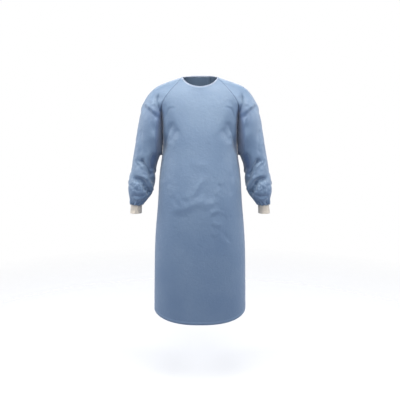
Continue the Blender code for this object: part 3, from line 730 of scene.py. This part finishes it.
def thinShell(obj, thickness):
    wall = obj.modifiers.new("thickness", "SOLIDIFY")
    wall.thickness = thickness
    wall.offset = -1
    wall.use_rim = True


def isLevelHem(spots, ways):
    return (spots[:, 2] < -1.13) & (np.abs(ways[:, 2]) < 0.6)


def isNeckline(spots):
    return (spots[:, 2] > -0.060) & (np.abs(spots[:, 0]) < 0.0925)


def makeBodyPanel(node, name, settings, free=False):
    print("  " + name)
    obj = startPiece(node, name, settings, bodyMiddle)
    spots, facing = pointsOf(obj)

    def isFree(places, ways):
        return (places[:, 1] > 0) & (np.abs(places[:, 0]) < 0.135) & (np.abs(ways[:, 2]) > 0.6)

    def isHem(places, ways):
        return isLevelHem(places, ways) | (isFree(places, ways) if free else False)

    def isSeam(places, ways):
        return ~isHem(places, ways) & ~isNeckline(places)

    hemAway, seamAway, along = edgeDistances(obj, spots, isHem, isSeam)
    borders = bordersOf(obj)
    neckAway, _ = distanceTo(obj, spots, choose(borders, isNeckline(borders[0])))
    field = creased(spots, facing, settings["oneSide"])
    for mirror in (1, -1):
        field += creased(spots, facing, settings["bothSides"], mirror)
    down = smoothStep((-spots[:, 2] - 0.45) / 0.35)
    field += settings["drape"] * down * fractal(spots, 6.0, 2, 3.1, (1, 1, 0.3))
    field += settings["crumple"] * (0.5 - ridged(spots, 24.0, 3, 5.7))
    field *= smoothStep(seamAway / 0.020) * smoothStep(neckAway / 0.020)
    field += seamGroove(seamAway, along)
    moved = spots + facing * field[:, None]
    hollow = armpitHollow(spots, seamAway, settings["armpitReach"])
    moved[:, 1] += settings["armpitDepth"] * hollow
    # the same share paints shade into the colour of that fold
    setAttribute(obj, "foldShade", settings["tuckedShade"] * hollow)
    putPoints(obj, moved)
    thinShell(obj, settings["thickness"])
    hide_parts(node)
    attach(obj, "root")
    return obj


def gathered(spots, mirror, count, height):
    # uneven gathers that run up from the cuff: soft rolls with sharp valleys between them
    rng = np.random.default_rng(11)
    turns = np.sort((np.arange(count) + rng.uniform(-0.32, 0.32, count)) / count)
    tall = rng.uniform(0.55, 1.0, count)
    reach = rng.uniform(0.030, 0.066, count)
    up = spots[:, 2] + 0.609
    x = spots[:, 0] * mirror - (0.3129 - 0.38 * up)
    y = spots[:, 1] + 0.0215 - 0.06 * up
    turn = (np.arctan2(y, x) / (2 * np.pi) + 0.012 * np.sin(up * 95)) % 1.0
    spread = np.append(turns, turns[0] + 1)
    index = np.searchsorted(turns, turn, side="right") - 1
    start = np.where(index < 0, turns[-1] - 1, turns[index])
    end = np.where(index < 0, turns[0], spread[index + 1])
    share = (turn - start) / np.maximum(end - start, 1e-6)
    roll = np.abs(np.sin(np.pi * share)) ** 0.7
    fade = smoothStep(1 - up / reach[index]) * smoothStep((up + 0.02) / 0.02)
    return height * tall[index] * (roll - 0.25) * fade


def drawnToCuff(spots, mirror, share):
    # the end rounds in to the cuff, more on its outer side
    away = np.stack([spots[:, 0] * mirror - 0.3129, spots[:, 1] + 0.0220], axis=1)
    far = np.maximum(np.linalg.norm(away / (0.0276, 0.0338), axis=1), 1)
    level = smoothStep((-spots[:, 2] - 0.556) / 0.042)
    side = 0.35 + 0.65 * smoothStep((away[:, 0] / 0.030 + 0.2) / 0.9)
    away *= (share * level * side * (far - 1) / far)[:, None]
    return np.stack([-away[:, 0] * mirror, -away[:, 1], np.zeros(len(spots))], axis=1)


def makeSleeve(node, name, settings, mirror):
    print("  " + name)
    obj = startPiece(node, name, settings, sleeveMiddle)
    spots, facing = pointsOf(obj)

    def isSeam(places, ways):
        return (places[:, 2] > -0.45) & ~isNeckline(places)

    _, seamAway, along = edgeDistances(obj, spots, None, isSeam)
    borders = bordersOf(obj)
    neckAway, _ = distanceTo(obj, spots, choose(borders, isNeckline(borders[0])))
    height = spots[:, 2]
    field = creased(spots, facing, settings["creases"], mirror)
    busy = 0.30 + 0.35 * smoothStep((-height - 0.33) / 0.10) + 0.35 * smoothStep((-height - 0.47) / 0.06)
    field += settings["crumple"] * busy * (0.5 - ridged(spots, 23.0, 3, 2.9, (1, 1, 0.8)))
    field += 0.35 * settings["crumple"] * busy * (0.5 - ridged(spots, 70.0, 2, 8.3))
    field += 0.0016 * fractal(spots, 11.0, 2, 6.1)
    end = smoothStep((height + 0.609) / 0.016)
    field = np.where(height < -0.58, np.maximum(field, -0.004 * end), field) * (0.15 + 0.85 * end)
    field += gathered(spots, mirror, settings["gathers"], settings["gatherHeight"])
    field *= smoothStep(seamAway / 0.014) * smoothStep(neckAway / 0.016)
    field += seamGroove(seamAway, along)
    moved = spots + facing * field[:, None] + drawnToCuff(spots, mirror, settings["endDrawnIn"])
    hollow = armpitHollow(spots, seamAway, settings["armpitReach"])
    moved[:, 1] += settings["armpitDepth"] * hollow
    # painted shade on the inner side, which faces the body and gets little light, and in the armpit fold
    shadedInward = smoothStep((-facing[:, 0] * mirror - 0.15) / 0.7) * smoothStep((height + 0.50) / 0.08)
    setAttribute(obj, "foldShade", np.maximum(settings["tuckedShade"] * hollow, settings["innerShade"] * shadedInward))
    putPoints(obj, moved)
    thinShell(obj, settings["thickness"])
    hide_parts(node)
    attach(obj, "root")
    return obj


frontPanel = makeBodyPanel("front_panel", "frontPanel", frontSettings)
backPanelRight = makeBodyPanel("back_panel_right", "backPanelRight", backSettings, free=True)
backPanelLeft = makeBodyPanel("back_panel_left", "backPanelLeft", backSettings, free=True)
sleeveLeft = makeSleeve("sleeve_left", "sleeveLeft", sleeveSettings, 1)
sleeveRight = makeSleeve("sleeve_right", "sleeveRight", sleeveSettings, -1)


# Knit cuffs

print("cuffs")

cuffSettings = {
    "wallThick": 0.0020,
    "ribs": 52,
    "ribHeight": 0.0005,
    "thickness": 0.0014,
    "hemHeight": 0.010,         # the doubled end, a little fuller
}


def cuffMiddle(spot):
    return Vector((0.3135 if spot.x > 0 else -0.3135, -0.0225, spot.z))


def makeKnitCuff(node, name, settings):
    bm = mergedCopy(node)
    keepOuterSide(bm, cuffMiddle, settings["wallThick"] * 1.02)
    toQuads(bm)
    obj = smoothed(bm, name, 3, cuffKnit)
    spots, facing = pointsOf(obj)
    middle = spots.mean(axis=0)
    turn = np.arctan2(spots[:, 1] - middle[1], spots[:, 0] - middle[0])
    wander = 0.10 * np.sin(spots[:, 2] * 130)
    wave = 0.5 + 0.5 * np.cos(settings["ribs"] * (turn + 0.02 * wander))
    up = spots[:, 2] - spots[:, 2].min()
    fuller = 1 - smoothStep((up - settings["hemHeight"]) / 0.003)
    # share of the yarn's own colour: full on the rib tops, painted shade between them, the doubled end a little
    # lighter
    setAttribute(obj, "rib", np.clip(wave + 0.25 * fuller, 0, 1))
    field = settings["ribHeight"] * (wave - 0.4) + 0.0005 * fuller
    field += 0.0007 * fractal(spots, 45.0, 2, 4.4)
    putPoints(obj, spots + facing * field[:, None])
    thinShell(obj, settings["thickness"])
    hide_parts(node)
    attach(obj, "root")
    return obj


cuffLeft = makeKnitCuff("cuff_left", "cuffLeft", cuffSettings)
cuffRight = makeKnitCuff("cuff_right", "cuffRight", cuffSettings)


# Neck binding, tab, ties and knot: whole folded strips, with both sides

print("binding, tab and ties")

stripSettings = {
    "neckBinding": {"node": "neck_binding", "levels": 3, "edge": 0.45, "crumple": 0.0004, "scale": 60},
    "neckTab": {"node": "neck_tab", "levels": 3, "edge": 0.8, "crumple": 0.0003, "scale": 40},
    "waistTieLeft": {"node": "waist_tie_left", "levels": 3, "edge": 0.8, "crumple": 0.0005, "scale": 45},
    "waistTieRight": {"node": "waist_tie_right", "levels": 3, "edge": 0.8, "crumple": 0.0005, "scale": 45},
    "tieTailLong": {"node": "tie_tail_long", "levels": 3, "edge": 0.8, "crumple": 0.0009, "scale": 30},
    "tieTailShort": {"node": "tie_tail_short", "levels": 3, "edge": 0.8, "crumple": 0.0009, "scale": 30},
    "waistKnot": {"node": "waist_knot", "levels": 3, "edge": 0.0, "crumple": 0.0004, "scale": 90},
}


def creaseSharpEdges(bm, amount, angle=40):
    layer = bm.edges.layers.float.get("crease_edge") or bm.edges.layers.float.new("crease_edge")
    for edge in bm.edges:
        if len(edge.link_faces) == 2 and math.degrees(edge.calc_face_angle(0)) > angle:
            edge[layer] = amount


def makeStrip(name, settings, material):
    bm = mergedCopy(settings["node"])
    toQuads(bm)
    if settings["edge"]:
        creaseSharpEdges(bm, settings["edge"])
    obj = smoothed(bm, name, settings["levels"], material)
    spots, facing = pointsOf(obj)
    for attribute in ("hemAway", "seamAway"):
        setAttribute(obj, attribute, np.full(len(spots), 1.0))
    for attribute in ("along", "foldShade"):
        setAttribute(obj, attribute, np.zeros(len(spots)))
    field = settings["crumple"] * fractal(spots, settings["scale"], 3, 1.9)
    putPoints(obj, spots + facing * field[:, None])
    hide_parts(settings["node"])
    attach(obj, "root")
    return obj


def wrapKnot(obj):
    # two turns of the tie round the knot, as slanting hollows between soft rolls
    spots, facing = pointsOf(obj)
    middle = spots.mean(axis=0)
    local = spots - middle
    slant = local[:, 2] + 0.55 * local[:, 0]
    turns = np.cos(slant * 2 * np.pi / 0.0125)
    putPoints(obj, spots + facing * (0.0011 * (turns - 0.4))[:, None])


strips = {}
for name, numbers in stripSettings.items():
    pale = name in ("neckBinding", "neckTab")
    strips[name] = makeStrip(name, numbers, neckTape if pale else gownCloth)
wrapKnot(strips["waistKnot"])
